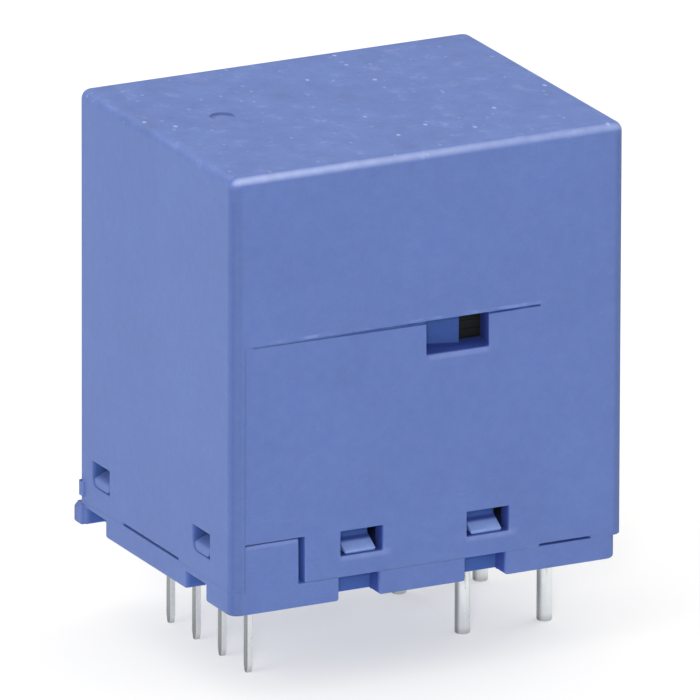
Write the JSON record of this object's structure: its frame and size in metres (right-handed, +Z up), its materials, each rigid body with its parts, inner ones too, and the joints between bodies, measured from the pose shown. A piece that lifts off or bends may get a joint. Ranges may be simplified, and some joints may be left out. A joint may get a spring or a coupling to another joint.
{
  "type": "hall effect current sensor",
  "caption": "Tall box-shaped blue plastic current sensor for a circuit board, with flat signal pins and round primary wire pins below, snap windows and a sunk front panel.",
  "frame": {"origin": "under the middle of the case, level with the tips of the pins", "axes": "+X along the front face from the flat signal pins to the round primary pins, +Y into the depth, away from the front panel, +Z up, from the pin tips to the roof"},
  "size_m": [0.0194, 0.0152, 0.024],
  "materials": {
    "case_cover_plastic": "fine matt moulding, soft blue",
    "base_tray_plastic": "fine matt moulding, soft blue",
    "former_plastic": "matt black moulding",
    "tinned_wire": "tinned, satin",
    "tinned_pin": "tinned, satin",
    "core_steel": "stacked laminations",
    "board_laminate": "green solder resist",
    "chip_moulding": "matt black moulding",
    "ceramic_brown": "satin",
    "resistor_black": "satin",
    "solder": "bright solder"
  },
  "bodies": {
    "root": {"case_cover": "case_cover_plastic", "base_tray": "base_tray_plastic", "coil_former": "former_plastic", "primary_winding_1": "tinned_wire", "primary_winding_2": "tinned_wire", "core_front_half": "core_steel", "core_back_half": "core_steel", "hall_element": "chip_moulding", "circuit_board": "board_laminate", "pin_solder": "solder", "element_solder": "solder", "secondary_pin_1": "tinned_pin", "secondary_pin_2": "tinned_pin", "secondary_pin_3": "tinned_pin", "secondary_pin_4": "tinned_pin", "amplifier_chip": "chip_moulding", "voltage_regulator": "chip_moulding", "supply_capacitor_1": "ceramic_brown", "supply_capacitor_2": "ceramic_brown", "filter_capacitor": "ceramic_brown", "gain_resistor": "resistor_black", "offset_resistor": "resistor_black", "feedback_resistor": "resistor_black", "load_resistor": "resistor_black"}
  },
  "joints": []
}
